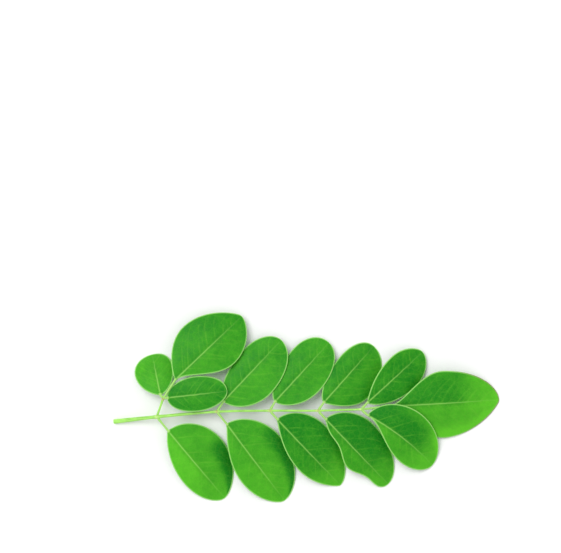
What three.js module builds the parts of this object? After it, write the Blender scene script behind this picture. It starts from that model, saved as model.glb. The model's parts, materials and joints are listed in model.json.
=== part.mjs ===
// A moringa sprig: one side branch of the compound leaf, cut off and laid face up on a flat surface.
// Units are millimetres and +Z is up. The stalk is cut at its -X end and ends in the leaflet at +X.
import * as THREE from 'three'
import { mergeVertices } from 'three/addons/utils/BufferGeometryUtils.js'

// How finely the shapes are divided.
const SIDES = 12
const STALK_RINGS = 4
const BLADE_RINGS = 17
const RINGS_PER_STRETCH = 8
const SIDE_STALK_RINGS = 10
const WELD_DISTANCE = 1e-3

// The main stalk's joints, in order from the cut end: where each is, the stalk's radius there and its
// heading in plan, in degrees.
const CUT_END = { at: new THREE.Vector3(-43.5, -3.2, 0.58), radius: 0.5, heading: 7 }
const JOINT_1 = { at: new THREE.Vector3(-33.7, -2.0, 2.6), radius: 0.36, heading: 6 }
const JOINT_2 = { at: new THREE.Vector3(-20.2, -0.8, 3.5), radius: 0.27, heading: 3 }
const JOINT_3 = { at: new THREE.Vector3(-8.3, -0.55, 3.7), radius: 0.25, heading: 1 }
const JOINT_4 = { at: new THREE.Vector3(2.5, -0.55, 3.7), radius: 0.23, heading: 1 }
const JOINT_5 = { at: new THREE.Vector3(12.2, -0.27, 3.6), radius: 0.21, heading: 2 }
const MAIN_STALK = [CUT_END, JOINT_1, JOINT_2, JOINT_3, JOINT_4, JOINT_5]

// The side stalk rises from joint 1 to a fork of three leaflets.
const SIDE_STALK_FOOT = { at: new THREE.Vector3(-33.48, -1.35, 2.8), radius: 0.24, heading: 71 }
const FORK = { at: new THREE.Vector3(-32.2, 2.2, 4.0), radius: 0.24, heading: 71 }

// A joint is a little thicker than the stalk on either side of it.
const JOINT_SWELLING = 0.32
const JOINT_REACH = 0.55
const RING_CROWDING = 0.9

// A leaflet's own short stalk, its blade's thickness at the midrib, and the air left at its foot.
const LEAFLET_STALK_RADIUS = 0.24
const BLADE_THICKNESS = 0.3
const FOOT_GAP = 0.06
const RIB_FADE = 12
const TIP_CLOSING = 8
const TIP_ROUNDING = 0.1
const EDGE_CURVE = 1.6
const WAVE_CREST = 0.54
const STRAIGHT_ON = 0.3

// A blade's middle surface never comes lower than this. It levels out over a short distance above it.
const REST_HEIGHT = 0.14
const REST_SOFTNESS = 0.25

const STALK_COLOUR = 0x9ddb74
const BLADE_COLOUR = 0x46a832
const PALE_BLADE_COLOUR = 0x5cba3c
const STALK_ROUGHNESS = 0.5
const BLADE_ROUGHNESS = 0.45

// The leaflets. Headings are degrees anticlockwise from +X, in plan. Left and right are as seen from the
// foot, looking towards the tip.
//   from      the joint that the leaflet grows from
//   stalk     its own short stalk's heading, and its length from the joint's middle to the blade's base
//   blade     length from base to tip, heading, and how far the midrib bows to the left of a straight line
//   heights   of the midrib above the surface, at the blade's base, at its middle and at its tip
//   left and right, for each half of the blade:
//     width   at its widest
//     widest  where that is, as a share of the blade's length
//     base    how it narrows towards the base: 0.5 for an ellipse, and more for a longer, finer taper
//     tip     the same towards the tip
//     lift    how far its edge stands above the midrib at the widest place
//     wave    how much of its width a wavy edge gives up in its hollows, if it is wavy
const LEAFLETS = [
  {
    name: 'leaflet_lower_1',
    from: JOINT_1,
    stalk: { length: 4.0, heading: -51 },
    blade: { length: 20, heading: -50.5, bow: 0 },
    heights: { base: 2.7, middle: 2.2, tip: -0.3 },
    left: { width: 8, widest: 0.46, base: 0.5, tip: 0.65, lift: -1.2 },
    right: { width: 4.9, widest: 0.58, base: 0.82, tip: 0.57, lift: -0.5 },
  },
  {
    name: 'leaflet_lower_2',
    from: JOINT_2,
    stalk: { length: 3.5, heading: -51 },
    blade: { length: 21.9, heading: -53.4, bow: 0 },
    heights: { base: 3.3, middle: 2.7, tip: -0.3 },
    left: { width: 8, widest: 0.47, base: 0.55, tip: 0.55, lift: -0.9 },
    right: { width: 5.2, widest: 0.57, base: 1.05, tip: 0.65, lift: 0.2 },
  },
  {
    name: 'leaflet_lower_3',
    from: JOINT_3,
    stalk: { length: 2.5, heading: -49 },
    blade: { length: 20.9, heading: -46.7, bow: 0 },
    heights: { base: 3.6, middle: 2.8, tip: -0.2 },
    left: { width: 6.9, widest: 0.42, base: 0.54, tip: 0.6, lift: -0.9 },
    right: { width: 4.4, widest: 0.57, base: 1, tip: 0.85, lift: 0.3 },
  },
  {
    name: 'leaflet_lower_4',
    from: JOINT_4,
    stalk: { length: 2.5, heading: -47 },
    blade: { length: 20.7, heading: -46.5, bow: 0 },
    heights: { base: 3.6, middle: 2.9, tip: -0.1 },
    left: { width: 7, widest: 0.42, base: 0.55, tip: 0.52, lift: -1 },
    right: { width: 4.1, widest: 0.6, base: 1, tip: 0.45, lift: 0.3, wave: 0.34 },
  },
  {
    name: 'leaflet_lower_5',
    from: JOINT_5,
    stalk: { length: 1.9, heading: -41 },
    blade: { length: 18.8, heading: -38, bow: 0.8 },
    heights: { base: 3.8, middle: 3.6, tip: 0.2 },
    left: { width: 6.8, widest: 0.5, base: 0.47, tip: 0.47, lift: 0.2 },
    right: { width: 4.6, widest: 0.65, base: 1.9, tip: 0.6, lift: 0.1 },
  },
  {
    name: 'leaflet_upper_2',
    from: JOINT_2,
    stalk: { length: 2.7, heading: 57 },
    blade: { length: 19, heading: 46.6, bow: 0 },
    heights: { base: 3.7, middle: 3.6, tip: 2.2 },
    left: { width: 4.7, widest: 0.62, base: 0.6, tip: 0.51, lift: -1.2 },
    right: { width: 6.5, widest: 0.46, base: 0.6, tip: 0.48, lift: 0.3 },
  },
  {
    name: 'leaflet_upper_3',
    from: JOINT_3,
    stalk: { length: 2.3, heading: 60 },
    blade: { length: 18, heading: 47.2, bow: 0 },
    heights: { base: 3.7, middle: 3.1, tip: 1.1 },
    left: { width: 5, widest: 0.65, base: 0.6, tip: 0.45, lift: -1.3 },
    right: { width: 5.7, widest: 0.48, base: 0.62, tip: 0.48, lift: 0.3 },
  },
  {
    name: 'leaflet_upper_4',
    from: JOINT_4,
    stalk: { length: 2.2, heading: 54 },
    blade: { length: 17, heading: 47.8, bow: 0 },
    heights: { base: 3.6, middle: 2.3, tip: -0.3 },
    left: { width: 4.1, widest: 0.62, base: 0.6, tip: 0.43, lift: -0.9 },
    right: { width: 6.8, widest: 0.45, base: 0.87, tip: 0.47, lift: -0.9 },
  },
  {
    name: 'leaflet_upper_5',
    from: JOINT_5,
    stalk: { length: 2.0, heading: 47 },
    blade: { length: 17, heading: 42, bow: 0 },
    heights: { base: 3.6, middle: 2.9, tip: 0.8 },
    left: { width: 4, widest: 0.65, base: 0.95, tip: 0.62, lift: 0.3 },
    right: { width: 4.8, widest: 0.6, base: 0.7, tip: 0.55, lift: -0.9 },
  },
  {
    name: 'leaflet_terminal',
    from: JOINT_5,
    stalk: { length: 6.3, heading: 6 },
    blade: { length: 25.1, heading: 3, bow: 0 },
    heights: { base: 2.9, middle: 2.8, tip: -0.2 },
    left: { width: 7.3, widest: 0.49, base: 1.8, tip: 0.56, lift: 0.2 },
    right: { width: 7.9, widest: 0.48, base: 1.8, tip: 0.85, lift: -2.2 },
  },
  {
    name: 'leaflet_side_left',
    from: FORK,
    stalk: { length: 1, heading: 128 },
    blade: { length: 9.2, heading: 103, bow: 0 },
    heights: { base: 3.9, middle: 2.3, tip: -0.3 },
    left: { width: 4.8, widest: 0.6, base: 0.68, tip: 0.46, lift: -0.6 },
    right: { width: 4, widest: 0.62, base: 0.6, tip: 0.36, lift: -0.6 },
  },
  {
    name: 'leaflet_side_middle',
    from: FORK,
    stalk: { length: 5.0, heading: 57 },
    blade: { length: 20.6, heading: 43.7, bow: 0 },
    heights: { base: 4.8, middle: 4.6, tip: 1.8 },
    left: { width: 7.4, widest: 0.46, base: 0.82, tip: 0.84, lift: -1.5 },
    right: { width: 6.5, widest: 0.59, base: 1.75, tip: 0.65, lift: -0.3 },
  },
  {
    name: 'leaflet_side_right',
    from: FORK,
    stalk: { length: 0.9, heading: 10 },
    blade: { length: 13.6, heading: 6.5, bow: 0 },
    heights: { base: 4.0, middle: 4.7, tip: 4.4 },
    left: { width: 4.1, widest: 0.5, base: 0.55, tip: 0.43, lift: -0.4 },
    right: { width: 3.8, widest: 0.48, base: 0.46, tip: 0.55, lift: -0.3 },
  },
]

const radians = THREE.MathUtils.degToRad
const mix = THREE.MathUtils.lerp

// A unit direction in plan.
function direction(heading) {
  return new THREE.Vector2(Math.cos(heading), Math.sin(heading))
}

// A closed body from a geometry whose points have been moved. Points that coincide become one.
function weld(geometry) {
  geometry.deleteAttribute('normal')
  geometry.deleteAttribute('uv')
  const body = mergeVertices(geometry, WELD_DISTANCE)
  body.computeVertexNormals()
  return body
}

// A stalk's share of its length, with its rings crowded towards both ends of each stretch.
function crowd(share, stretches) {
  const scaled = share * stretches
  const stretch = Math.min(Math.floor(scaled), stretches - 1)
  const within = scaled - stretch
  const moved = within - (RING_CROWDING * Math.sin(2 * Math.PI * within)) / (2 * Math.PI)
  return (stretch + moved) / stretches
}

// A round stalk along a smooth curve through its joints, tapering between them and swollen at each.
function stalkGeometry(joints, rings, swollen) {
  const curve = new THREE.CatmullRomCurve3(joints.map((joint) => joint.at))
  const geometry = new THREE.CylinderGeometry(1, 1, 1, SIDES, rings)
  const points = geometry.attributes.position
  const stretches = joints.length - 1
  const unit = new THREE.Vector3()
  for (let i = 0; i < points.count; i++) {
    unit.fromBufferAttribute(points, i)
    const share = crowd(0.5 - unit.y, stretches)
    const centre = curve.getPoint(share)
    const along = curve.getTangent(share)
    const left = new THREE.Vector3(0, 0, 1).cross(along).normalize()
    const above = along.clone().cross(left)
    const stretch = Math.min(Math.floor(share * stretches), stretches - 1)
    const radius = mix(joints[stretch].radius, joints[stretch + 1].radius, share * stretches - stretch)
    const nearest = Math.min(...swollen.map((joint) => joint.at.distanceTo(centre)))
    const swelling = 1 + JOINT_SWELLING * Math.exp(-((nearest / JOINT_REACH) ** 2))
    centre.addScaledVector(left, unit.x * radius * swelling)
    centre.addScaledVector(above, unit.z * radius * swelling)
    points.setXYZ(i, centre.x, centre.y, centre.z)
  }
  return weld(geometry)
}

// How a half blade narrows towards its tip. It follows the power that the half gives, but for the very
// tip, which is as round as an ellipse's end.
function tipTaper(rest, power) {
  const blunted = (rest + TIP_ROUNDING) / (1 + TIP_ROUNDING)
  return Math.sqrt(rest) * blunted ** (power - 0.5)
}

// How far a half blade reaches from the midrib, at a share of its length: 0 at both ends and its full
// width at the widest place. A wavy edge draws in at its hollows, on either side of its crest.
function reach(half, share) {
  const beyond = share > half.widest
  const away = (share - half.widest) / (beyond ? 1 - half.widest : half.widest)
  const rest = Math.max(1 - away ** 2, 0)
  const ripple = 1 - Math.cos(4 * Math.PI * (share - WAVE_CREST))
  const drawnIn = ((half.wave ?? 0) * ripple) / 2
  return half.width * (beyond ? tipTaper(rest, half.tip) : rest ** half.base) * (1 - drawnIn)
}

// The smooth curve through a blade's heights at its base, middle and tip.
function midribHeight(heights, share) {
  const sag = 4 * heights.middle - 2 * heights.base - 2 * heights.tip
  return mix(heights.base, heights.tip, share) + sag * share * (1 - share)
}

// A height that stays above the surface: what would dip below it lies on it.
function settle(height) {
  const spare = height - REST_HEIGHT
  return REST_HEIGHT + (spare + Math.hypot(spare, REST_SOFTNESS)) / 2
}

// How far from a joint's middle a short stalk's foot is, for it to clear the side of the stalk there. One
// that carries straight on starts at the stalk's end.
function footDistance(joint, heading) {
  const lean = radians(heading - joint.heading)
  if (Math.abs(lean) < STRAIGHT_ON) return FOOT_GAP
  const beside = joint.radius * (1 + JOINT_SWELLING) + FOOT_GAP
  return (beside + LEAFLET_STALK_RADIUS * Math.cos(lean)) / Math.abs(Math.sin(lean))
}

// One ring of a leaflet, in its own frame: the joint's middle at the origin and the blade's heading along
// +X. It gives the ring's middle, its heading, how far it reaches to each side and its half thickness.
function leafletRing(leaflet, row) {
  const { from, stalk, blade, heights } = leaflet
  const turn = radians(stalk.heading - blade.heading)
  if (row <= STALK_RINGS) {
    const share = Math.max(row - 1, 0) / (STALK_RINGS - 1)
    const radius = row === 0 ? 0 : LEAFLET_STALK_RADIUS
    return {
      middle: direction(turn).multiplyScalar(mix(footDistance(from, stalk.heading), stalk.length, share)),
      heading: row === STALK_RINGS ? turn / 2 : turn,
      height: mix(from.at.z, heights.base, share),
      reaches: [radius, radius],
      thickness: radius,
    }
  }
  const share = (1 - Math.cos((Math.PI * (row - STALK_RINGS)) / BLADE_RINGS)) / 2
  const rib = LEAFLET_STALK_RADIUS * (1 - share)
  const closing = Math.sqrt(1 - share ** TIP_CLOSING)
  const bladeStart = direction(turn).multiplyScalar(stalk.length)
  return {
    middle: bladeStart.add(new THREE.Vector2(blade.length * share, 4 * blade.bow * share * (1 - share))),
    heading: 0,
    height: midribHeight(heights, share),
    reaches: [leaflet.left, leaflet.right].map((half) => Math.hypot(reach(half, share), rib)),
    thickness: mix(BLADE_THICKNESS / 2, LEAFLET_STALK_RADIUS, Math.exp(-share * RIB_FADE)) * closing,
  }
}

// A leaflet with its short stalk. A sphere's rings become its cross sections, from the foot to the tip:
// round on the stalk, and a thin lens on the blade with an edge at either side of the midrib.
function leafletGeometry(leaflet) {
  const rings = STALK_RINGS + BLADE_RINGS
  const geometry = new THREE.SphereGeometry(1, SIDES, rings)
  const points = geometry.attributes.position
  for (let row = 0; row <= rings; row++) {
    const ring = leafletRing(leaflet, row)
    const leftward = direction(ring.heading + Math.PI / 2)
    for (let column = 0; column <= SIDES; column++) {
      const angle = (2 * Math.PI * (column % SIDES)) / SIDES
      const side = -Math.cos(angle)
      const half = side > 0 ? leaflet.left : leaflet.right
      const across = side * ring.reaches[side > 0 ? 0 : 1]
      const lift = half.lift * (Math.abs(across) / half.width) ** EDGE_CURVE
      const height = settle(ring.height + lift) + Math.sin(angle) * ring.thickness
      const x = ring.middle.x + leftward.x * across
      const y = ring.middle.y + leftward.y * across
      points.setXYZ(row * (SIDES + 1) + column, x, y, height - leaflet.from.at.z)
    }
  }
  return weld(geometry)
}

// A named piece in a matt, slightly glossy green.
function finished(name, geometry, color, roughness) {
  const mesh = new THREE.Mesh(geometry, new THREE.MeshStandardMaterial({ color, roughness, metalness: 0 }))
  mesh.name = name
  return mesh
}

// A leaflet placed at its joint, with a hair's breadth of air between its foot and the stalk.
function makeLeaflet(leaflet) {
  const color = leaflet.name.includes('lower') ? PALE_BLADE_COLOUR : BLADE_COLOUR
  const mesh = finished(leaflet.name, leafletGeometry(leaflet), color, BLADE_ROUGHNESS)
  mesh.position.copy(leaflet.from.at)
  mesh.rotation.z = radians(leaflet.blade.heading)
  return mesh
}

// The side stalk and the three leaflets at its fork.
function makeSideBranch() {
  const branch = new THREE.Group()
  const geometry = stalkGeometry([SIDE_STALK_FOOT, FORK], SIDE_STALK_RINGS, [FORK])
  branch.add(finished('side_stalk', geometry, STALK_COLOUR, STALK_ROUGHNESS))
  branch.add(...LEAFLETS.filter((leaflet) => leaflet.from === FORK).map(makeLeaflet))
  return branch
}

// The whole sprig: the main stalk with its own leaflets, and the side branch.
function makeSprig() {
  const sprig = new THREE.Group()
  const rings = RINGS_PER_STRETCH * (MAIN_STALK.length - 1)
  const geometry = stalkGeometry(MAIN_STALK, rings, MAIN_STALK.slice(1))
  sprig.add(finished('rachis', geometry, STALK_COLOUR, STALK_ROUGHNESS))
  sprig.add(...LEAFLETS.filter((leaflet) => leaflet.from !== FORK).map(makeLeaflet))
  sprig.add(makeSideBranch())
  return sprig
}

const sprig = makeSprig()

// The origin is at the middle of the sprig's bounding box, on the surface that it lies on.
const box = new THREE.Box3().setFromObject(sprig, true)
const middle = box.getCenter(new THREE.Vector3())
sprig.position.set(-middle.x, -middle.y, -box.min.z)
const group = new THREE.Group()
group.add(sprig)

export default group
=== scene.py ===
"""Looks of a cut sprig of moringa leaf that lies on a pale table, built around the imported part.

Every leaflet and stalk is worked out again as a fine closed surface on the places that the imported
part gives, with its veins, margin and joints, and gets its own procedural finish. Lengths in this
file are in millimetres, and MM turns them into the scene's metres.
"""

import json
import logging
import math
from dataclasses import dataclass, field
from enum import Enum

import bpy
import numpy as np
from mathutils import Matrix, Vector

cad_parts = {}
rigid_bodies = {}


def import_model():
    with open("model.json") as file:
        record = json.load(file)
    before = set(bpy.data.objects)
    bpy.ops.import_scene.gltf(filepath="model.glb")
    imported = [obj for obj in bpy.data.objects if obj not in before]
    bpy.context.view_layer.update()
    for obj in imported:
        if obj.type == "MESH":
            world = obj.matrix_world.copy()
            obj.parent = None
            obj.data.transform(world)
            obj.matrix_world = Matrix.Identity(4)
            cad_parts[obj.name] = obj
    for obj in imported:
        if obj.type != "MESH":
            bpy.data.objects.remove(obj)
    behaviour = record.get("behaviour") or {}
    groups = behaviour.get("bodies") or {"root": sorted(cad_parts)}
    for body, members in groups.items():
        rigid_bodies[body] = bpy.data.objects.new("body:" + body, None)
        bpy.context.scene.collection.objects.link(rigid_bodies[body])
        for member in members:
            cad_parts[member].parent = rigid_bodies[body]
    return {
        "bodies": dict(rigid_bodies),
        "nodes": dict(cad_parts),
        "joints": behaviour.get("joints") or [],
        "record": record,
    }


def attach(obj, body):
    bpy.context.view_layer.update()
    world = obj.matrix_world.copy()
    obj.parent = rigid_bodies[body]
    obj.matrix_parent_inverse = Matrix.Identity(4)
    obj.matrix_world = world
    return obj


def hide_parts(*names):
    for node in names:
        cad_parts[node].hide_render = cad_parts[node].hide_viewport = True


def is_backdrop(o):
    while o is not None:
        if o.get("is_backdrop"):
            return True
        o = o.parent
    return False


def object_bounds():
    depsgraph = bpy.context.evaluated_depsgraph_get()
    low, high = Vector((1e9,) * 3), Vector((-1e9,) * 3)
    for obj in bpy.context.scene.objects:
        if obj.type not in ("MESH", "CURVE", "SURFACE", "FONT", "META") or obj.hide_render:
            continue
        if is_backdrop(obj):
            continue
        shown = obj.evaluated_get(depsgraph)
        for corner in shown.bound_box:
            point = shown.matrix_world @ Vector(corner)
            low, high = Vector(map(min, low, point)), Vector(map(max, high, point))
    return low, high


log = logging.getLogger("moringa")

MM = 0.001
SEED = 20
WELD = 0.001
TINY = 1e-9
ALMOST_ONE = 0.9999
LEAST_LENGTH = 1e-12
LEAST_REACH = 1e-4
LEAST_STEP = 1e-6
BUMP_STRENGTH = 0.5

RING_POINTS = 12
SIDE_COLUMNS = 7
SIDES = np.sin(np.linspace(-math.pi / 2, math.pi / 2, SIDE_COLUMNS))
STALK_ROWS = 3

FOOT_DEPTHS = np.array([1.0, 0.66, 0.33])
FOOT_WIDTHS = np.array([0.45, 0.75, 0.92])
CAP_SHARES = np.array([0.25, 0.6, 0.86, 0.96])
CAP_DIPS = np.array([1.0, 0.9, 0.35, 0.0])
CAP_PITH = np.array([1.0, 0.95, 0.8, 0.35])

Colour = tuple[float, float, float, float]


class Slot(Enum):
    """The record's material slot names, which nothing in this script uses; each piece gets its
    finish directly.
    """

    STALK = "stalk"
    LEAFLET = "leaflet"


def srgb(red: int, green: int, blue: int) -> Colour:
    """Turns a colour written as 0 to 255 into the linear colour, by the standard sRGB curve.

    Args:
        red: Red from 0 to 255.
        green: Green from 0 to 255.
        blue: Blue from 0 to 255.

    Returns:
        The linear colour with full opacity.
    """
    shares = np.array([red, green, blue]) / 255
    low = shares / 12.92
    high = ((shares + 0.055) / 1.055) ** 2.4
    linear = np.where(shares <= 0.04045, low, high)
    return (float(linear[0]), float(linear[1]), float(linear[2]), 1.0)


def smooth_step(value: np.ndarray, start: float, end: float) -> np.ndarray:
    """Rises from 0 to 1 between two values, level at both ends.

    Args:
        value: Where to work it out.
        start: Where the rise starts.
        end: Where the rise ends.

    Returns:
        Three times the squared share less twice the cubed share of the way.
    """
    share = np.clip((value - start) / (end - start), 0, 1)
    return share * share * (3 - 2 * share)


def spline_matrix(knots: np.ndarray, places: np.ndarray) -> np.ndarray:
    """Gives the matrix that turns values at knots into a natural cubic spline's values at places.

    The spline's second derivatives solve the usual three-band system with zero at both ends, and
    each place mixes the values and second derivatives at the two knots around it.

    Args:
        knots: The knots' positions, rising.
        places: Where the spline is wanted.

    Returns:
        A matrix with a row for each place and a column for each knot.
    """
    count = len(knots)
    gaps = np.diff(knots)
    system = np.eye(count)
    bends = np.zeros((count, count))
    inner = np.arange(1, count - 1)
    system[inner, inner - 1] = gaps[:-1]
    system[inner, inner] = 2 * (gaps[:-1] + gaps[1:])
    system[inner, inner + 1] = gaps[1:]
    bends[inner, inner - 1] = 6 / gaps[:-1]
    bends[inner, inner] = -6 / gaps[:-1] - 6 / gaps[1:]
    bends[inner, inner + 1] = 6 / gaps[1:]
    seconds = np.linalg.solve(system, bends)
    low = np.clip(np.searchsorted(knots, places, side="right") - 1, 0, count - 2)
    gap = gaps[low]
    after = (places - knots[low]) / gap
    before = 1 - after
    rows = np.arange(len(places))
    matrix = np.zeros((len(places), count))
    matrix[rows, low] = before
    matrix[rows, low + 1] = after
    matrix += ((before**3 - before) * gap**2 / 6)[:, None] * seconds[low]
    matrix += ((after**3 - after) * gap**2 / 6)[:, None] * seconds[low + 1]
    return matrix


def unit(vectors: np.ndarray) -> np.ndarray:
    """Scales vectors to a length of one, whatever the leading axes."""
    return vectors / np.maximum(np.linalg.norm(vectors, axis=-1, keepdims=True), LEAST_LENGTH)


@dataclass
class PackedShell:
    """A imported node's closed surface, with its points merged, to be read ring by ring."""

    node: bpy.types.Object
    points: np.ndarray = field(init=False)
    edges: np.ndarray = field(init=False)

    def __post_init__(self) -> None:
        """Merges the node's loose triangles and lists their edges both ways."""
        mesh = self.node.data
        loose = np.empty(len(mesh.vertices) * 3)
        mesh.vertices.foreach_get("co", loose)
        loose = loose.reshape(-1, 3) / MM
        mesh.calc_loop_triangles()
        corners = np.empty(len(mesh.loop_triangles) * 3, int)
        mesh.loop_triangles.foreach_get("vertices", corners)
        _, first, merged = np.unique(
            np.round(loose / WELD).astype(np.int64), axis=0, return_index=True, return_inverse=True
        )
        self.points = loose[first]
        triangles = merged.ravel()[corners].reshape(-1, 3)
        pairs = np.vstack([triangles[:, [0, 1]], triangles[:, [1, 2]], triangles[:, [2, 0]]])
        self.edges = np.unique(np.vstack([pairs, pairs[:, ::-1]]), axis=0)

    def poles(self) -> np.ndarray:
        """Gives the indices of the two points where the rings close, which have the most edges."""
        counts = np.bincount(self.edges[:, 0], minlength=len(self.points))
        return np.argsort(counts, kind="stable")[-2:]

    def rings(self, start: int) -> np.ndarray:
        """Walks over the surface from one pole, a ring at a time.

        Args:
            start: The index of the pole that the walk leaves from.

        Returns:
            The points of each ring, in no order within a ring: ring, point, coordinate. The first
            and last ring repeat their pole.
        """
        steps = np.full(len(self.points), -1)
        steps[start] = 0
        step = 0
        while (steps < 0).any():
            reached = (steps[self.edges[:, 0]] == step) & (steps[self.edges[:, 1]] < 0)
            step += 1
            steps[self.edges[reached, 1]] = step
        order = np.argsort(steps, kind="stable")
        between = self.points[order[1:-1]].reshape(-1, RING_POINTS, 3)
        first = np.repeat(self.points[order[:1]][None], RING_POINTS, axis=1)
        last = np.repeat(self.points[order[-1:]][None], RING_POINTS, axis=1)
        return np.vstack([first, between, last])


@dataclass
class Skin:
    """A closed tube-like surface made of equal rings, with values for its finish on its points."""

    name: str
    rings: np.ndarray
    foot: np.ndarray
    tip: np.ndarray
    values: dict[str, np.ndarray]

    def build(self) -> bpy.types.Object:
        """Makes the mesh: quads between the rings and a fan to a pole at each end.

        Returns:
            The object, at the origin, with smooth faces that point outwards.
        """
        count, around = self.rings.shape[:2]
        points = np.vstack([self.rings.reshape(-1, 3), self.foot[None], self.tip[None]]) * MM
        here = np.arange(around)
        there = (here + 1) % around
        rows = np.arange(count - 1)[:, None] * around
        below = rows + around
        quads = np.stack([rows + here, below + here, below + there, rows + there], 2)
        foot_pole = count * around
        foot_fan = np.stack([np.full(around, foot_pole), here, there], 1)
        last = (count - 1) * around
        tip_fan = np.stack([np.full(around, foot_pole + 1), last + there, last + here], 1)
        corners = np.concatenate([quads.ravel(), foot_fan.ravel(), tip_fan.ravel()])
        sizes = np.concatenate([np.full(quads[..., 0].size, 4), np.full(2 * around, 3)])
        mesh = bpy.data.meshes.new(self.name)
        mesh.vertices.add(len(points))
        mesh.vertices.foreach_set("co", points.ravel())
        mesh.loops.add(len(corners))
        mesh.loops.foreach_set("vertex_index", corners)
        mesh.polygons.add(len(sizes))
        mesh.polygons.foreach_set("loop_start", np.concatenate([[0], np.cumsum(sizes)[:-1]]))
        mesh.polygons.foreach_set("use_smooth", np.ones(len(sizes), bool))
        for name, value in self.values.items():
            flat = np.concatenate([value.ravel(), [value[0].mean(), value[-1].mean()]])
            layer = mesh.attributes.new(name, "FLOAT", "POINT")
            layer.data.foreach_set("value", flat.astype(np.float32))
        mesh.update(calc_edges=True)
        mesh.validate()
        piece = bpy.data.objects.new(self.name, mesh)
        bpy.context.scene.collection.objects.link(piece)
        return piece


class Board:
    """A node tree under construction, with short ways to add the nodes that the finishes use."""

    def __init__(self, name: str) -> None:
        """Starts a material whose only node is its output.

        Args:
            name: The material's name.
        """
        self.material = bpy.data.materials.new(name)
        self.material.use_nodes = True
        self.tree = self.material.node_tree
        self.tree.nodes.clear()
        self.output = self.tree.nodes.new("ShaderNodeOutputMaterial")

    def node(
        self, kind: str, inputs: dict[str | int, object], **settings: object
    ) -> bpy.types.Node:
        """Adds a node, and links or writes its inputs.

        Args:
            kind: The shader node's kind, as Blender names it.
            inputs: The inputs by name or number, each a source's socket or a plain value.
            settings: The node's own settings.

        Returns:
            The node.
        """
        node = self.tree.nodes.new("ShaderNode" + kind)
        for name, setting in settings.items():
            setattr(node, name, setting)
        for name, value in inputs.items():
            if isinstance(value, bpy.types.NodeSocket):
                self.tree.links.new(value, node.inputs[name])
            else:
                node.inputs[name].default_value = value
        return node

    def finished(self, shader: bpy.types.Node) -> bpy.types.Material:
        """Links the shader to the output, and gives the material."""
        self.tree.links.new(shader.outputs[0], self.output.inputs["Surface"])
        return self.material

    def attribute(self, name: str) -> bpy.types.NodeSocket:
        """Reads one of the piece's own point values."""
        return self.node("Attribute", {}, attribute_name=name).outputs["Fac"]

    def place(self, turn: float) -> bpy.types.NodeSocket:
        """Gives Object coordinates, turned about Z so that patterns don't line up with the axes."""
        place = self.node("TexCoord", {}).outputs["Object"]
        return self.node("Mapping", {"Vector": place, "Rotation": (0, 0, turn)}).outputs["Vector"]

    def math(self, operation: str, first: object, second: object) -> bpy.types.NodeSocket:
        """Adds a sum on two numbers."""
        return self.node("Math", {0: first, 1: second}, operation=operation).outputs[0]

    def ranged(
        self, value: object, low: float, high: float, to_low: float = 0.0, to_high: float = 1.0
    ) -> bpy.types.NodeSocket:
        """Maps a value's range onto another, smoothly and held at both ends.

        Args:
            value: The number or socket that is mapped.
            low: The value that gives to_low.
            high: The value that gives to_high.
            to_low: The result at low.
            to_high: The result at high.

        Returns:
            The mapped number.
        """
        inputs = {"Value": value, "From Min": low, "From Max": high}
        inputs |= {"To Min": to_low, "To Max": to_high}
        node = self.node("MapRange", inputs, interpolation_type="SMOOTHSTEP")
        return node.outputs["Result"]

    def noise(self, place: object, cell: float, detail: float = 2.0) -> bpy.types.NodeSocket:
        """Gives soft noise, about 0.5 on average, whose blotches are about one cell wide."""
        inputs = {"Vector": place, "Scale": 1 / (cell * MM), "Detail": detail}
        return self.node("TexNoise", inputs).outputs["Fac"]

    def net(self, place: object, cell: float) -> bpy.types.NodeSocket:
        """Gives the distance from the lines of an irregular net, in shares of a cell."""
        inputs = {"Vector": place, "Scale": 1 / (cell * MM)}
        return self.node("TexVoronoi", inputs, feature="DISTANCE_TO_EDGE").outputs["Distance"]

    def mix(self, share: object, first: object, second: object) -> bpy.types.NodeSocket:
        """Mixes two colours by a share held between 0 and 1.

        Args:
            share: How much of the second colour there is.
            first: The first colour.
            second: The second colour.

        Returns:
            The mixed colour.
        """
        inputs = {"Factor": share, "A": first, "B": second}
        node = self.node("Mix", inputs, data_type="RGBA", clamp_factor=True)
        return next(out for out in node.outputs if out.type == "RGBA")

    def scaled(self, colour: object, amount: object) -> bpy.types.NodeSocket:
        """Makes a colour lighter or darker by a factor."""
        inputs = {0: colour, "Scale": amount}
        return self.node("VectorMath", inputs, operation="SCALE").outputs["Vector"]

    def bump(self, height: object, depth: float) -> bpy.types.NodeSocket:
        """Turns a height from 0 to 1 into a bumped normal, depth millimetres deep."""
        inputs = {"Strength": BUMP_STRENGTH, "Distance": depth * MM, "Height": height}
        return self.node("Bump", inputs).outputs["Normal"]


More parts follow.
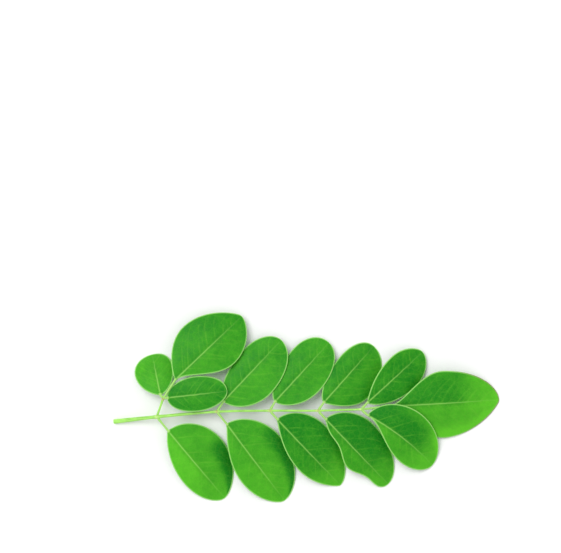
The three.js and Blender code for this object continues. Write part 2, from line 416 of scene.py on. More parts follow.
@dataclass(frozen=True)
class LeafFinish:
    """A fresh leaflet's skin: satin green, paler below, with pale veins and stalk, and a pale
    margin that is partly a painted edge highlight. It also carries each leaflet's painted light and
    shade.
    """

    deep: Colour = srgb(18, 143, 18)
    fresh: Colour = srgb(104, 218, 42)
    pale_under: Colour = srgb(118, 178, 92)
    vein: Colour = srgb(128, 214, 62)
    rib: Colour = srgb(168, 232, 112)
    # Partly the margin's own pale colour, partly a painted edge highlight.
    margin: Colour = srgb(172, 236, 128)
    stalk: Colour = srgb(188, 238, 132)
    warm: Colour = srgb(128, 92, 40)
    cloud_tone: float = 0.09
    blotch_tone: float = 0.06
    grain_shade: float = 0.06
    net_share: float = 0.12
    fine_net_share: float = 0.06
    under_share: float = 0.62
    faintest_vein: float = 0.25
    net_relief: float = -0.45
    fine_net_relief: float = -0.2
    grain_relief: float = 0.5
    roughness: float = 0.5
    under_roughness: float = 0.16
    specular: float = 0.2
    translucent_share: float = 0.28
    fresh_through: float = 0.35

    def material(self) -> bpy.types.Material:
        """Builds the leaflets' material.

        Returns:
            A mix of a satin skin and light that comes through the blade.
        """
        board = Board("fresh_leaf_skin")
        place = board.place(turn=0.6)
        cloud = board.noise(place, cell=5.0, detail=3)
        blotch = board.noise(place, cell=1.3)
        grain = board.noise(place, cell=0.16)
        net = board.ranged(board.net(place, cell=1.1), 0.0, 0.09, 1.0, 0.0)
        fine_net = board.ranged(board.net(place, cell=0.42), 0.0, 0.12, 1.0, 0.0)
        under = board.attribute("under")
        patches = board.noise(place, cell=2.2)
        faint = board.ranged(patches, 0.35, 0.62, self.faintest_vein, 1.0)
        layers = (
            (board.math("MULTIPLY", net, self.net_share), self.vein),
            (board.math("MULTIPLY", fine_net, self.fine_net_share), self.vein),
            (board.math("MULTIPLY", under, self.under_share), self.pale_under),
            (board.math("MULTIPLY", board.attribute("vein"), faint), self.vein),
            (board.attribute("rib"), self.rib),
            # The pale margin: partly the blade's own paler edge, partly a painted edge highlight.
            (board.attribute("margin"), self.margin),
            (board.attribute("warm"), self.warm),
            (board.attribute("stalk"), self.stalk),
        )
        lift = board.ranged(cloud, 0.3, 0.7, -self.cloud_tone, self.cloud_tone)
        speckle = board.ranged(blotch, 0.3, 0.7, -self.blotch_tone, self.blotch_tone)
        # Each leaflet's own colour with its painted light and shade, plus random clouds and
        # speckles.
        tone_and_light = board.math("ADD", board.attribute("painted_light_and_tone"), board.math("ADD", lift, speckle))
        fine = board.ranged(grain, 0.25, 0.75, 1 - self.grain_shade, 1 + self.grain_shade)
        colour = board.scaled(board.mix(tone_and_light, self.deep, self.fresh), fine)
        # Painted shade beside the midrib and on rolled-down edges.
        colour = board.scaled(colour, board.attribute("shade"))
        for share, over in layers:
            colour = board.mix(share, colour, over)
        height = board.math("MULTIPLY", net, self.net_relief)
        for pattern, amount in ((fine_net, self.fine_net_relief), (grain, self.grain_relief)):
            height = board.math("ADD", height, board.math("MULTIPLY", pattern, amount))
        rough = board.math("ADD", board.ranged(blotch, 0.3, 0.7, -0.05, 0.06), self.roughness)
        rough = board.math("ADD", rough, board.math("MULTIPLY", under, self.under_roughness))
        inputs = {"Base Color": colour, "Roughness": rough, "Specular IOR Level": self.specular}
        inputs["Normal"] = board.bump(height, depth=0.05)
        skin = board.node("BsdfPrincipled", inputs)
        glowing = board.mix(self.fresh_through, colour, self.fresh)
        through = board.node("BsdfTranslucent", {"Color": glowing})
        sides = {0: self.translucent_share, 1: skin.outputs[0], 2: through.outputs[0]}
        return board.finished(board.node("MixShader", sides))


@dataclass(frozen=True)
class StalkFinish:
    """A stalk's skin: pale yellow green with fine streaks, paler joints and a moist cut end."""

    skin: Colour = srgb(172, 232, 108)
    streak: Colour = srgb(138, 208, 80)
    joint: Colour = srgb(198, 236, 142)
    blush: Colour = srgb(172, 138, 82)
    pith: Colour = srgb(214, 232, 166)
    stretch: float = 0.05
    streak_relief: float = 0.7
    grain_relief: float = 0.3
    roughness: float = 0.44
    specular: float = 0.4
    depth_share: float = 0.15
    depth_colours: tuple[float, float, float] = (0.6, 1.0, 0.3)
    depth: float = 0.4

    def material(self) -> bpy.types.Material:
        """Builds the stalks' material.

        Returns:
            A satin skin with streaks along the stalk, from its own along and around values.
        """
        board = Board("stalk_skin")
        along = board.math("MULTIPLY", board.attribute("along"), self.stretch * MM)
        around = board.math("MULTIPLY", board.attribute("around"), MM)
        stretched = board.node("CombineXYZ", {"X": along, "Y": around})
        streaks = board.noise(stretched.outputs["Vector"], cell=0.14, detail=3)
        place = board.place(turn=0.3)
        blotch = board.noise(place, cell=1.6)
        grain = board.noise(place, cell=0.09)
        colour = board.mix(board.ranged(streaks, 0.38, 0.68), self.skin, self.streak)
        colour = board.scaled(colour, board.ranged(blotch, 0.3, 0.7, 0.9, 1.08))
        colour = board.mix(board.attribute("joint"), colour, self.joint)
        tint = board.math("MULTIPLY", board.attribute("blush"), board.ranged(blotch, 0.45, 0.65))
        colour = board.mix(tint, colour, self.blush)
        colour = board.mix(board.attribute("cut"), colour, self.pith)
        rough = board.ranged(streaks, 0.3, 0.7, self.roughness - 0.05, self.roughness + 0.1)
        height = board.math(
            "ADD",
            board.math("MULTIPLY", streaks, self.streak_relief),
            board.math("MULTIPLY", grain, self.grain_relief),
        )
        inputs = {
            "Base Color": colour,
            "Roughness": rough,
            "Normal": board.bump(height, depth=0.04),
            "Specular IOR Level": self.specular,
            "Subsurface Weight": self.depth_share,
            "Subsurface Radius": self.depth_colours,
            "Subsurface Scale": self.depth * MM,
        }
        return board.finished(board.node("BsdfPrincipled", inputs))


@dataclass(frozen=True)
class ToneAndPaintedLight:
    """How yellow and light each part of one leaflet is, from 0, deep green, to 1, fresh green. This
    is partly the leaflet's own colour and partly painted light and shade: painted shade where an
    edge rolls down or lies in a neighbour's shadow, and painted light where light shines through.
    """

    left: float
    right: float
    base: float = 0.0
    tip: float = 0.0
    left_edge: float = 0.0
    right_edge: float = 0.0
    edge_start: float = 0.2
    edge_width: float = 0.5
    warm_tip: float = 0.0
    evening: float = 0.8

    def painted_light_and_tone(self, along: np.ndarray, side: np.ndarray) -> np.ndarray:
        """Spreads the leaflet's colour, with its painted light and shade, over the blade.

        The two halves' tones meet softly at the midrib and come nearer to each other towards the
        tip. The base and the tip add theirs with a smooth rise, and each edge adds its own to its
        outer part, from edge_start on; a negative edge is painted shade on an edge that rolls down.

        Args:
            along: Share of the way from the blade's base to its tip.
            side: From -1 at the right margin to 1 at the left.

        Returns:
            The leaflet's colour value, with its painted light and shade, at each point.
        """
        half = smooth_step(side, -0.16, 0.16)
        half = half + (0.5 - half) * smooth_step(along, 0.45, 1.0) * self.evening
        tone_and_light = self.right + (self.left - self.right) * half
        tone_and_light = tone_and_light + self.base * (1 - smooth_step(along, 0.0, 0.45))
        tone_and_light = tone_and_light + self.tip * smooth_step(along, 0.5, 1.0)
        outer = smooth_step(along, self.edge_start, self.edge_start + 0.3)
        inner = 1 - self.edge_width
        tone_and_light = tone_and_light + self.left_edge * smooth_step(side, inner, inner + 0.45) * outer
        return tone_and_light + self.right_edge * smooth_step(-side, inner, inner + 0.45) * outer


@dataclass(frozen=True)
class Layout:
    """Where a leaflet's points lie on it, with rows along it and columns from right to left.

    Side is -1 at the right margin and 1 at the left. Blade is 0 on the stalk and rises to 1 at the
    tip, flat is 0 on the stalk and 1 on the blade, and rib_fade falls to 0 at the tip. Wander is
    the distance from the midrib's line, which zigzags from vein to vein. Lengths are in mm.
    """

    middle: np.ndarray
    side: np.ndarray
    travelled: np.ndarray
    blade: np.ndarray
    reach: np.ndarray
    offset: np.ndarray
    from_base: np.ndarray
    flat: np.ndarray
    rib_fade: np.ndarray
    wander: np.ndarray
    length: float
    stalk_radius: float


@dataclass
class Leaflet:
    """One leaflet: a thin veined blade with a short round stalk whose foot is set in its joint."""

    node: str
    tone_and_light: ToneAndPaintedLight
    vein_pairs: int = 5
    rows: int = 136
    columns: int = 97
    stalk_rows: int = 14
    crowding: float = 0.45
    half_thickness: float = 0.07
    edge_round: float = 0.13
    crease: float = 0.10
    crease_reach: float = 0.8
    rib_top: float = 0.035
    rib_under: float = 0.11
    rib_width: float = 0.19
    rib_under_width: float = 1.4
    rib_line_width: float = 0.075
    zigzag: float = 0.05
    base_clear: float = 0.03
    base_reach: float = 0.95
    first_vein: float = 0.03
    veined_share: float = 0.84
    vein_scatter: float = 0.028
    vein_stagger: float = 0.015
    vein_angle: float = 54.0
    vein_bend: float = 0.05
    vein_hook: float = 0.13
    vein_width: float = 0.12
    vein_under: float = 0.03
    minor_vein: float = 0.4
    puff: float = 0.022
    ripple: float = 0.05
    ripple_waves: tuple[float, float] = (9, 17)
    minor_ripple: float = 0.6
    margin_width: float = 0.22
    warm_width: float = 0.18
    sink: float = 0.5
    foot_swell: float = 1.25
    foot_reach: float = 0.55
    turn_reach: float = 0.4
    vein_strength: float = 0.38
    rib_strength: float = 0.78
    # Painted shade: rib_shade darkens the crease on both sides of the midrib, and deep_shade
    # darkens rolled-down edges below deep green.
    rib_shade: float = 0.10
    deep_shade: float = 0.45

    def packed_grid(self, frame: dict, stalk_points: np.ndarray) -> np.ndarray:
        """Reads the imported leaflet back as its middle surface.

        The foot is the pole nearest to a stalk. Each ring's points are sorted across the leaflet,
        and the upper and lower point of each pair give the middle between them. The foot's pole
        lies in the first ring's plane, and is left out.

        Args:
            stalk_points: Points of both stalks, in millimetres.

        Returns:
            Ring, column from right to left, coordinate, in millimetres.
        """
        shell = PackedShell(frame["nodes"][self.node])
        poles = shell.poles()
        gaps = np.linalg.norm(shell.points[poles][:, None] - stalk_points[None], axis=2).min(1)
        rings = shell.rings(poles[np.argmin(gaps)])
        centres = rings[:, :, :2].mean(1)
        forward = unit(np.gradient(centres, axis=0))
        left = np.stack([-forward[:, 1], forward[:, 0]], 1)
        offsets = ((rings[:, :, :2] - centres[:, None]) * left[:, None]).sum(2)
        order = np.argsort(offsets, axis=1, kind="stable")
        ranked = np.take_along_axis(rings, order[:, :, None], axis=1)
        pairs = ranked[:, 1:-1].reshape(len(rings), SIDE_COLUMNS - 2, 2, 3).mean(2)
        return np.concatenate([ranked[:, :1], pairs, ranked[:, -1:]], axis=1)[1:]

    def across(self) -> np.ndarray:
        """Gives the columns' sides from -1 to 1, closer together towards both margins."""
        even = np.linspace(-1, 1, self.columns)
        return (1 - self.crowding) * even + self.crowding * np.sin(even * math.pi / 2)

    def middle(self, grid: np.ndarray, side: np.ndarray) -> np.ndarray:
        """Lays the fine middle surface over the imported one.

        In plan each row is straight from the midrib to each margin. Heights follow a cubic spline
        across, and everything follows a cubic spline along, the stalk and the blade apart.

        Args:
            grid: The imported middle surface.
            side: The fine columns' sides.

        Returns:
            The fine surface, whose blade starts after stalk_rows rows.
        """
        centre = grid[:, SIDE_COLUMNS // 2, :2]
        share = np.abs(side)[None, :, None]
        edge = np.where((side > 0)[None, :, None], grid[:, -1:, :2], grid[:, :1, :2])
        plan = centre[:, None] * (1 - share) + edge * share
        height = grid[:, :, 2] @ spline_matrix(SIDES, side).T
        coarse = np.concatenate([plan, height[:, :, None]], axis=2)
        stalk = spline_matrix(
            np.arange(STALK_ROWS + 1.0),
            np.linspace(0, STALK_ROWS, self.stalk_rows, endpoint=False),
        )
        blade = spline_matrix(
            np.arange(STALK_ROWS, len(grid), 1.0),
            np.linspace(STALK_ROWS, len(grid) - 1, self.rows + 1)[:-1],
        )
        stalk_part = np.einsum("rk,kcx->rcx", stalk, coarse[: STALK_ROWS + 1])
        blade_part = np.einsum("rk,kcx->rcx", blade, coarse[STALK_ROWS:])
        return np.concatenate([stalk_part, blade_part])

    def layout(self, grid: np.ndarray, phase: float) -> Layout:
        """Makes the fine middle surface and measures where its points lie on the leaflet.

        Args:
            grid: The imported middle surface.
            phase: Where the midrib's zigzag starts, in radians.

        Returns:
            The surface with its points' places.
        """
        side = self.across()
        middle = self.middle(grid, side)
        rib = middle[:, self.columns // 2]
        edge = np.where((side > 0)[None, :, None], middle[:, -1:], middle[:, :1])
        reach = np.linalg.norm((edge - rib[:, None])[..., :2], axis=2)
        reach = np.maximum(reach, LEAST_REACH)
        tip = grid[-1].mean(0)
        steps = np.linalg.norm(np.diff(np.vstack([rib, tip[None]]), axis=0), axis=1)
        travelled = np.concatenate([[0], np.cumsum(steps)])
        length = travelled[-1] - travelled[self.stalk_rows]
        travelled = travelled[:-1]
        blade = np.clip((travelled - travelled[self.stalk_rows]) / length, 0, 1)[:, None]
        offset = np.abs(side)[None] * reach
        stalk_radius = np.linalg.norm(middle[0, -1] - middle[0, 0]) / 2
        from_base = np.hypot(offset, blade * length)
        turns = 2 * math.pi * self.vein_pairs * blade + phase
        return Layout(
            middle=middle,
            side=side,
            travelled=travelled,
            blade=blade,
            reach=reach,
            offset=offset,
            from_base=from_base,
            flat=smooth_step(from_base, stalk_radius + self.base_clear, self.base_reach),
            rib_fade=1 - smooth_step(blade, 0.55, 1.0),
            wander=side[None] * reach - self.zigzag * np.sin(turns) * blade,
            length=length,
            stalk_radius=stalk_radius,
        )

    def veins(self, layout: Layout, spread: np.random.Generator) -> np.ndarray:
        """Works out how strongly a lateral vein shows at each point.

        Each vein leaves the midrib at the vein angle, bends towards the tip with the square of the
        way out, and hooks forward next to the margin. A weaker, shorter vein lies between each two.
        A point's strength falls off as a bell curve of its distance from the nearest vein.

        Args:
            layout: The points' places on the leaflet.
            spread: The source of the small differences between veins.

        Returns:
            The strength, from 0 to 1.
        """
        side = layout.side[None]
        angle = math.radians(self.vein_angle)
        lean = 1 / math.tan(angle)
        out = np.abs(side)
        run = lean * layout.offset / layout.length
        run = run + self.vein_bend * out**2 + self.vein_hook * out**7
        strength = np.zeros(np.broadcast(layout.blade, side).shape)
        for half in (-1, 1):
            order = np.arange(self.vein_pairs) + 0.5
            starts = self.first_vein + self.veined_share * order / self.vein_pairs
            starts = starts + spread.uniform(-self.vein_scatter, self.vein_scatter, self.vein_pairs)
            starts = starts + self.vein_stagger * half
            between = (starts[1:] + starts[:-1]) / 2
            for places, weight, end in ((starts, 1.0, 0.97), (between, self.minor_vein, 0.6)):
                leans = spread.uniform(0.75, 1.3, len(places))
                miss = layout.blade[..., None] - run[..., None] * leans - places
                miss = miss * layout.length * math.sin(angle)
                bell = np.exp(-((miss / self.vein_width) ** 2)).max(-1)
                fade = (1 - 0.55 * out) * (1 - smooth_step(out, end - 0.3, end))
                strength = np.maximum(strength, np.where(side * half > 0, bell * fade * weight, 0))
        return strength * layout.flat

    def waved(self, layout: Layout, phase: np.ndarray) -> np.ndarray:
        """Folds the middle surface along the midrib and ripples it towards the margins.

        The fold deepens exponentially towards the midrib and dies out at both ends of the blade.
        The ripple is two sine waves along the blade that grow with the square of side.

        Args:
            layout: The points' places on the leaflet.
            phase: Where the waves start, in radians.

        Returns:
            The waved surface.
        """
        blade, side = layout.blade, layout.side
        fold = self.crease * np.exp(-layout.offset / self.crease_reach)
        fold = fold * layout.flat * (1 - blade**4)
        fold = fold * smooth_step(blade, 0.02, 0.2)
        slow, quick = self.ripple_waves
        minor = self.minor_ripple * np.sin(blade * quick + phase[1] - side)
        ripple = np.sin(blade * slow + phase[0] + 2 * side) + minor
        ripple = self.ripple * ripple * layout.flat * np.abs(side) ** 2
        ripple = ripple * (1 - smooth_step(blade, 0.85, 1.0))
        surface = layout.middle.copy()
        surface[..., 2] += ripple - fold
        return surface

    def faces(self, layout: Layout, surface: np.ndarray, vein: np.ndarray) -> np.ndarray:
        """Stands the upper and lower faces off the middle surface along its normals.

        Half the thickness closes as a quarter circle at the margin and at the tip. The midrib adds
        a low bell curve above and a wide one below, and the blade puffs up between the veins. Each
        normal is the mean of its column's, weighted by a bell curve of the distance along, so that
        the faces don't cross where the stalk turns into the blade.

        Args:
            layout: The points' places on the leaflet.
            surface: The waved middle surface.
            vein: The veins' strength.

        Returns:
            The rings: over the upper face from right to left, and back under the lower one.
        """
        flat, travelled, rib_fade = layout.flat, layout.travelled, layout.rib_fade
        to_end = (travelled - travelled[-1] + self.edge_round) / self.edge_round
        ends = np.sqrt(1 - np.clip(to_end, 0, ALMOST_ONE) ** 2)
        inner = np.clip(1 - self.edge_round / layout.reach, 0, 1) * flat
        outer = (np.abs(layout.side)[None] - inner) / (1 - inner + TINY)
        closing = np.sqrt(1 - np.clip(outer, 0, 1) ** 2)
        half = layout.stalk_radius * (1 - flat) + self.half_thickness * flat
        half = half * closing * ends[:, None]
        bell = np.exp(-((layout.wander / self.rib_width) ** 2)) * flat * closing
        wide = self.rib_under_width * self.rib_width
        wide_bell = np.exp(-((layout.offset / wide) ** 2)) * flat * closing
        quilt = self.puff * (1 - vein) * smooth_step(layout.offset, 0.2, 0.9) * closing * flat
        top = half + self.rib_top * bell * (0.3 + 0.7 * rib_fade) + quilt
        low = half + self.rib_under * wide_bell * (0.15 + 0.85 * rib_fade)
        low = low + self.vein_under * vein * closing - 0.5 * quilt
        up = unit(np.cross(np.gradient(surface, axis=0), np.gradient(surface, axis=1)))
        nearby = np.exp(-(((travelled[:, None] - travelled[None]) / self.turn_reach) ** 2))
        nearby = nearby * np.gradient(travelled)[None]
        up = unit(np.einsum("rs,scx->rcx", nearby, up))
        upper = surface + up * top[..., None]
        lower = surface - up * low[..., None]
        return np.concatenate([upper, lower[:, -2:0:-1]], axis=1)

    def footed(self, layout: Layout, rings: np.ndarray) -> np.ndarray:
        """Swells the stalk towards its foot, and carries its first ring back into the joint.

        The swelling is a bell curve of the distance from the stalk's end. The added rings are
        narrower the deeper they lie.

        Args:
            layout: The points' places on the leaflet.
            rings: The leaflet's rings from the stalk's end on.

        Returns:
            The rings with the foot's set before them.
        """
        travelled = layout.travelled
        rib = layout.middle[:, self.columns // 2, None]
        swell = 1 + (self.foot_swell - 1) * np.exp(-((travelled / self.foot_reach) ** 2))
        swell = np.where(travelled < travelled[self.stalk_rows], swell, 1)
        rings = rib + (rings - rib) * swell[:, None, None]
        centre = rings[0].mean(0)
        back = unit(centre - rings[3].mean(0))
        widths = FOOT_WIDTHS[:, None, None]
        depths = FOOT_DEPTHS[:, None, None]
        added = centre + (rings[0] - centre) * widths + back * depths * self.sink
        return np.vstack([added, rings])

    def finish_values(self, layout: Layout, vein: np.ndarray) -> dict[str, np.ndarray]:
        """Works out the values that the finish reads, over the blade and its stalk.

        The margin's distance is the rest of the row, made shorter where the margin slants. Each
        line is a bell curve of the distance from it, and the midrib's is fainter towards the tip.

        Args:
            layout: The points' places on the leaflet.
            vein: The veins' strength.

        Returns:
            The values by name, on the upper face.
        """
        side, blade, flat = layout.side[None], layout.blade, layout.flat
        run = np.maximum(np.gradient(layout.travelled)[:, None], LEAST_STEP)
        slope = np.gradient(layout.reach, axis=0) / run
        to_margin = (1 - np.abs(side)) * layout.reach / np.sqrt(1 + slope**2)
        # A pale line along the margin: partly the blade's own paler edge, partly a painted edge
        # highlight.
        margin = 1 - smooth_step(to_margin, 0.5 * self.margin_width, 1.5 * self.margin_width)
        line_width = self.rib_line_width + self.rib_line_width * (1 - blade)
        rib_line = np.exp(-((layout.wander / line_width) ** 2))
        rib_line = rib_line * (1 - 0.85 * smooth_step(blade, 0.4, 1.0))
        # The leaflet's own colour with its painted light and shade.
        painted_light_and_tone = self.tone_and_light.painted_light_and_tone(blade, side)
        # Painted shade in the crease on both sides of the midrib.
        beside_rib = np.exp(-(((layout.offset - 0.42) / 0.3) ** 2))
        shade = 1 - self.rib_shade * beside_rib * flat * layout.rib_fade
        # More painted shade where the colour value falls below deep green, on rolled-down edges.
        shade = shade * (1 + self.deep_shade * np.clip(painted_light_and_tone, -0.7, 0))
        warm = self.tone_and_light.warm_tip * np.exp(-((to_margin / self.warm_width) ** 2))
        return {
            "vein": self.vein_strength * vein,
            "rib": self.rib_strength * rib_line * flat,
            "margin": margin * flat,
            "stalk": 1 - smooth_step(layout.from_base, 0.2, 0.65),
            "painted_light_and_tone": painted_light_and_tone,
            "shade": shade,
            "warm": warm * smooth_step(blade, 0.55, 0.85),
        }

    def wrapped(self, value: np.ndarray) -> np.ndarray:
        """Carries a value across the upper face on round the lower one, and back over the foot."""
        around = np.concatenate([value, value[:, -2:0:-1]], axis=1)
        return np.vstack([around[:1]] * len(FOOT_DEPTHS) + [around])

    def build(
        self, frame: dict, stalk_points: np.ndarray, finish: bpy.types.Material
    ) -> bpy.types.Object:
        """Builds the leaflet's closed surface and dresses it.

        Args:
            stalk_points: Points of both stalks, in millimetres.
            finish: The leaflets' material.

        Returns:
            The leaflet.
        """
        grid = self.packed_grid(frame, stalk_points)
        spread = np.random.default_rng([SEED, *self.node.encode()])
        phase = spread.uniform(0, 2 * math.pi, 4)
        layout = self.layout(grid, phase[2])
        vein = self.veins(layout, spread)
        rings = self.faces(layout, self.waved(layout, phase), vein)
        rings = self.footed(layout, rings)
        values = self.finish_values(layout, vein)
        values = {name: self.wrapped(value) for name, value in values.items()}
        below = np.zeros(rings.shape[1])
        below[self.columns :] = 1
        values["under"] = below[None] * self.wrapped(layout.flat)
        skin = Skin(self.node + "_blade", rings, rings[0].mean(0), grid[-1].mean(0), values)
        piece = skin.build()
        piece.data.materials.append(finish)
        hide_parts(self.node)
        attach(piece, "root")
        return piece


@dataclass
class Stalk:
    """A round stalk that swells at its joints, with fine ridges and flat or cut ends."""

    node: str
    cut_at_start: bool
    finer: int = 7
    around: int = 48
    ridges: int = 9
    ridge_depth: float = 0.035
    fine_ridges: int = 23
    fine_ridge_depth: float = 0.01
    twist: float = 0.05
    groove_depth: float = 0.10
    groove_width: float = 0.35
    cap_dip: float = 0.06
    dome: float = 0.7
    gland_size: float = 0.13
    gland_height: float = 0.12
    gland_turn: float = 0.30
    joint_swell: float = 1.15
    pale_from: float = 1.04
    pale_to: float = 1.3
    joint_pale: float = 0.75
    joint_blush: float = 0.45
    sink: float = 0.0

    def packed_path(self, frame: dict) -> tuple[np.ndarray, np.ndarray]:
        """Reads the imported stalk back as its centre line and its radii.


        Returns:
            The rings' centres and their mean radii, from the lower X end on, in millimetres.
        """
        shell = PackedShell(frame["nodes"][self.node])
        poles = shell.poles()
        rings = shell.rings(poles[np.argmin(shell.points[poles, 0])])[1:-1]
        centres = rings.mean(1)
        radii = np.linalg.norm(rings - centres[:, None], axis=2).mean(1)
        return centres, radii

    def build(self, frame: dict, finish: bpy.types.Material) -> bpy.types.Object:
        """Builds the stalk's closed surface and dresses it.

        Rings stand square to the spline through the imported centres. Their radius is the packed
        radius with two sets of cosine ridges that twist slowly, and a groove along the top.

        Args:
            finish: The stalks' material.

        Returns:
            The stalk.
        """
        centres, radii = self.packed_path(frame)
        knots = np.arange(float(len(centres)))
        places = np.linspace(0, len(centres) - 1, (len(centres) - 1) * self.finer + 1)
        matrix = spline_matrix(knots, places)
        path = matrix @ centres
        radius = (matrix @ radii)[:, None]
        steps = np.linalg.norm(np.diff(path, axis=0), axis=1)
        travelled = np.concatenate([[0], np.cumsum(steps)])
        angle = np.linspace(0, 2 * math.pi, self.around, endpoint=False)
        forward = unit(np.gradient(path, axis=0))
        left = unit(np.cross(np.array([0.0, 0.0, 1.0]), forward))
        up = np.cross(forward, left)
        outward = np.sin(angle)[None, :, None] * up[:, None]
        outward = outward - np.cos(angle)[None, :, None] * left[:, None]
        twist = self.twist * travelled[:, None]
        groove = np.exp(-(((angle[None] - math.pi / 2) / self.groove_width) ** 2))
        shaped = 1 + self.ridge_depth * np.cos(self.ridges * angle[None] + twist)
        fine = self.fine_ridge_depth * np.cos(self.fine_ridges * angle[None] - 2 * twist)
        shaped = shaped + fine - self.groove_depth * groove
        gland = self.glands(radii, places, travelled, angle)
        lift = radius * shaped + self.gland_height * gland
        rings = path[:, None] + outward * lift[..., None]
        swelling = radius[:, 0] / np.minimum.accumulate(radius[:, 0])
        swelling = smooth_step(swelling, self.pale_from, self.pale_to)
        spots = np.repeat(swelling[:, None], self.around, axis=1)
        values = {
            "along": np.repeat(travelled[:, None], self.around, axis=1),
            "around": np.repeat(np.cos(angle)[None], len(path), axis=0) * radii.min() * 2,
            "joint": self.joint_pale * spots,
            "blush": np.maximum(self.joint_blush * spots, gland),
            "cut": np.zeros(rings.shape[:2]),
        }
        rings, values = self.closed(rings, values)
        skin = Skin(self.node + "_skin", rings, rings[0].mean(0), rings[-1].mean(0), values)
        piece = skin.build()
        piece.data.materials.append(finish)
        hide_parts(self.node)
        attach(piece, "root")
        return piece

    def glands(
        self, radii: np.ndarray, places: np.ndarray, travelled: np.ndarray, angle: np.ndarray
    ) -> np.ndarray:
        """Raises a pair of tiny glands on top of each joint, each a bell curve of the distance.

        Args:
            radii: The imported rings' radii, whose peaks are the joints.
            places: The fine rings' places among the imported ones.
            travelled: The fine rings' distance along the stalk, in millimetres.
            angle: The points' angle around the stalk.

        Returns:
            The strength, from 0 to 1.
        """
        padded = np.concatenate([radii, [0.0]])
        peaks = np.arange(1, len(radii))
        peaks = peaks[(radii[1:] > radii[:-1]) & (radii[1:] > padded[2:])]
        peaks = peaks[radii[peaks] > self.joint_swell * np.minimum.accumulate(radii)[peaks]]
        joints = np.interp(peaks, places, travelled)
        ahead = (travelled[:, None, None] - joints[None, None]) / self.gland_size
        right = np.abs(angle - self.gland_turn * math.pi)
        beside = np.minimum(right, np.abs(angle - (1 - self.gland_turn) * math.pi))
        beside = beside[None, :, None] * radii[peaks][None, None] / self.gland_size
        return np.exp(-(ahead**2) - beside**2).max(-1)

    def closed(
        self, rings: np.ndarray, values: dict[str, np.ndarray]
    ) -> tuple[np.ndarray, dict[str, np.ndarray]]:
        """Adds the end faces: a rim round a dished middle at the start, a dome at the joint's end.

        Args:
            rings: The stalk's rings.
            values: The finish values on them.

        Returns:
            The rings and values with the end faces' rings added.
        """
        shares = CAP_SHARES[:, None, None]
        dips = CAP_DIPS[:, None, None]
        first = rings[0].mean(0)
        into = unit(rings[1].mean(0) - first)
        start = first + (rings[0] - first) * shares + into * (dips * self.cap_dip - self.sink)
        last = rings[-1].mean(0)
        onward = unit(last - rings[-2].mean(0))
        dome = np.sqrt(1 - shares**2) * np.linalg.norm(rings[-1, 0] - last) * self.dome
        end = (last + (rings[-1] - last) * shares + onward * dome)[::-1]
        wrapped = {}
        for name, value in values.items():
            head = np.repeat(value[:1], len(CAP_SHARES), axis=0)
            tail = np.repeat(value[-1:], len(CAP_SHARES), axis=0)
            if name == "cut" and self.cut_at_start:
                head = np.repeat(CAP_PITH[:, None], self.around, axis=1)
            wrapped[name] = np.vstack([head, value, tail])
        return np.vstack([start, rings, end]), wrapped


@dataclass(frozen=True)
class FloorFinish:
    """A plain white matt table."""

    colour: Colour = (0.93, 0.93, 0.93, 1.0)
    roughness: float = 0.85
    specular: float = 0.1

    def material(self) -> bpy.types.Material:
        """Builds the floor's material.

        Returns:
            A plain matt white.
        """
        board = Board("matt_white_table")
        inputs = {"Base Color": self.colour, "Roughness": self.roughness}
        inputs["Specular IOR Level"] = self.specular
        return board.finished(board.node("BsdfPrincipled", inputs))


@dataclass
class Studio:
    """The floor, the soft lights and the camera that looks straight down.

    The camera's height, its view's width and its aim are shares of the part's length.
    """

    low: Vector
    high: Vector
    floor_half: float = 3.0
    floor_drop: float = 0.02
    sky: float = 0.76
    key_power: float = 3.9
    key_size: float = 0.55
    key_place: tuple[float, float, float] = (-0.32, 0.30, 0.75)
    sensor: float = 36.0
    view_height: float = 5.5
    view_width: float = 1.448
    view_level: float = 0.45
    nearest: float = 0.01
    aim_x: float = -0.0671
    aim_y: float = 0.339

    def floor(self) -> bpy.types.Object:
        """Lays the floor just under the part.

        Returns:
            The floor.
        """
        half = self.floor_half
        level = self.low.z - self.floor_drop * MM
        plan = ((-half, -half), (half, -half), (half, half), (-half, half))
        mesh = bpy.data.meshes.new("table")
        mesh.from_pydata([(x, y, level) for x, y in plan], [], [(0, 1, 2, 3)])
        mesh.materials.append(FloorFinish().material())
        floor = bpy.data.objects.new("table", mesh)
        bpy.context.scene.collection.objects.link(floor)
        floor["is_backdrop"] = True
        return floor

    def lights(self) -> None:
        """Sets an even white sky and one large soft light high to the left."""
        world = bpy.data.worlds.new("soft_sky")
        world.use_nodes = True
        background = world.node_tree.nodes["Background"]
        background.inputs["Color"].default_value = (1, 1, 1, 1)
        background.inputs["Strength"].default_value = self.sky
        bpy.context.scene.world = world
        lamp = bpy.data.lights.new("soft_box", "AREA")
        lamp.shape = "DISK"
        lamp.size = self.key_size
        lamp.energy = self.key_power
        key = bpy.data.objects.new("soft_box", lamp)
        key.location = self.key_place
        key.rotation_euler = (-key.location).to_track_quat("-Z", "Y").to_euler()
        bpy.context.scene.collection.objects.link(key)

    def camera(self) -> None:
        """Places the camera straight above, as far off as a table-top picture is taken from."""
        length = self.high.x - self.low.x
        centre = (self.low + self.high) / 2
        height = self.view_height * length
        level = self.view_level * (self.high.z - self.low.z)
        data = bpy.data.cameras.new("camera")
        data.sensor_width = self.sensor
        data.lens = self.sensor * (height - level) / (self.view_width * length)
        data.clip_start = self.nearest
        camera = bpy.data.objects.new("camera", data)
        aim = (centre.x + self.aim_x * length, centre.y + self.aim_y * length)
        camera.location = (*aim, height)
        bpy.context.scene.collection.objects.link(camera)
        bpy.context.scene.camera = camera

    def build(self) -> None:
        """Sets up the whole studio, and shows colours as they are."""
        self.floor()
        self.lights()
        self.camera()
        bpy.context.scene.view_settings.view_transform = "Standard"
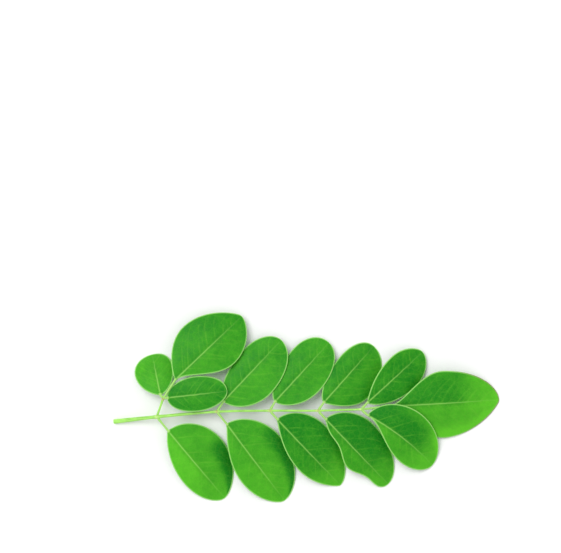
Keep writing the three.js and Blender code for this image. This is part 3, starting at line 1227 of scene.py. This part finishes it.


# Each leaflet's values are partly its own colour and partly painted light and shade: negative edges
# paint shade on edges that roll down or lie in a neighbour's shadow, and the brightest halves and
# edges partly paint light that shines through the blade.
LEAFLETS = [
    Leaflet(
        "leaflet_lower_1",
        ToneAndPaintedLight(0.5, 0.8, base=-0.05, tip=-0.1, left_edge=-0.8, edge_start=0.32, edge_width=0.62),
    ),
    Leaflet(
        "leaflet_lower_2",
        ToneAndPaintedLight(left=0.45, right=0.52, base=-0.1, tip=0.15, left_edge=-0.8, edge_width=0.55),
    ),
    Leaflet("leaflet_lower_3", ToneAndPaintedLight(left=0.02, right=0.12, base=-0.05, tip=0.55, left_edge=-0.1)),
    Leaflet("leaflet_lower_4", ToneAndPaintedLight(left=-0.05, right=0.26, tip=0.5, left_edge=-0.1)),
    Leaflet("leaflet_lower_5", ToneAndPaintedLight(-0.02, 0.45, tip=0.6, left_edge=0.35), sink=0.75),
    Leaflet("leaflet_upper_2", ToneAndPaintedLight(left=0.2, right=0.34, base=0.05, tip=-0.05)),
    Leaflet("leaflet_upper_3", ToneAndPaintedLight(left=0.22, right=0.26, base=0.05)),
    Leaflet("leaflet_upper_4", ToneAndPaintedLight(left=0.15, right=0.2, tip=0.05)),
    Leaflet("leaflet_upper_5", ToneAndPaintedLight(left=0.1, right=0.06, tip=0.05), sink=0.75),
    Leaflet(
        "leaflet_terminal",
        ToneAndPaintedLight(left=0.16, right=0.58, base=-0.1, tip=0.55, right_edge=0.45, warm_tip=0.85),
        vein_pairs=7,
        sink=0.25,
        foot_swell=1.1,
    ),
    Leaflet("leaflet_side_left", ToneAndPaintedLight(left=0.5, right=0.42, tip=0.05), sink=0.6),
    Leaflet(
        "leaflet_side_middle",
        ToneAndPaintedLight(left=0.18, right=0.36, base=0.1, tip=-0.1),
        vein_pairs=7,
        sink=0.25,
        foot_swell=1.1,
    ),
    Leaflet("leaflet_side_right", ToneAndPaintedLight(left=0.12, right=0.15)),
]

STALKS = [Stalk("rachis", cut_at_start=True), Stalk("side_stalk", cut_at_start=False, sink=0.3)]


def main() -> None:
    """Loads the frame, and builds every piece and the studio."""
    logging.basicConfig(level=logging.INFO, format="%(name)s: %(message)s")
    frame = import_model()
    low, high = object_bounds()
    stalk_skin = StalkFinish().material()
    leaf_skin = LeafFinish().material()
    stalk_points = np.vstack([PackedShell(frame["nodes"][stalk.node]).points for stalk in STALKS])
    for stalk in STALKS:
        piece = stalk.build(frame, stalk_skin)
        log.info("%s has %d faces", piece.name, len(piece.data.polygons))
    for leaflet in LEAFLETS:
        piece = leaflet.build(frame, stalk_points, leaf_skin)
        log.info("%s has %d faces", piece.name, len(piece.data.polygons))
    Studio(low, high).build()
    log.info("sizes written")


if __name__ == "__main__":
    main()
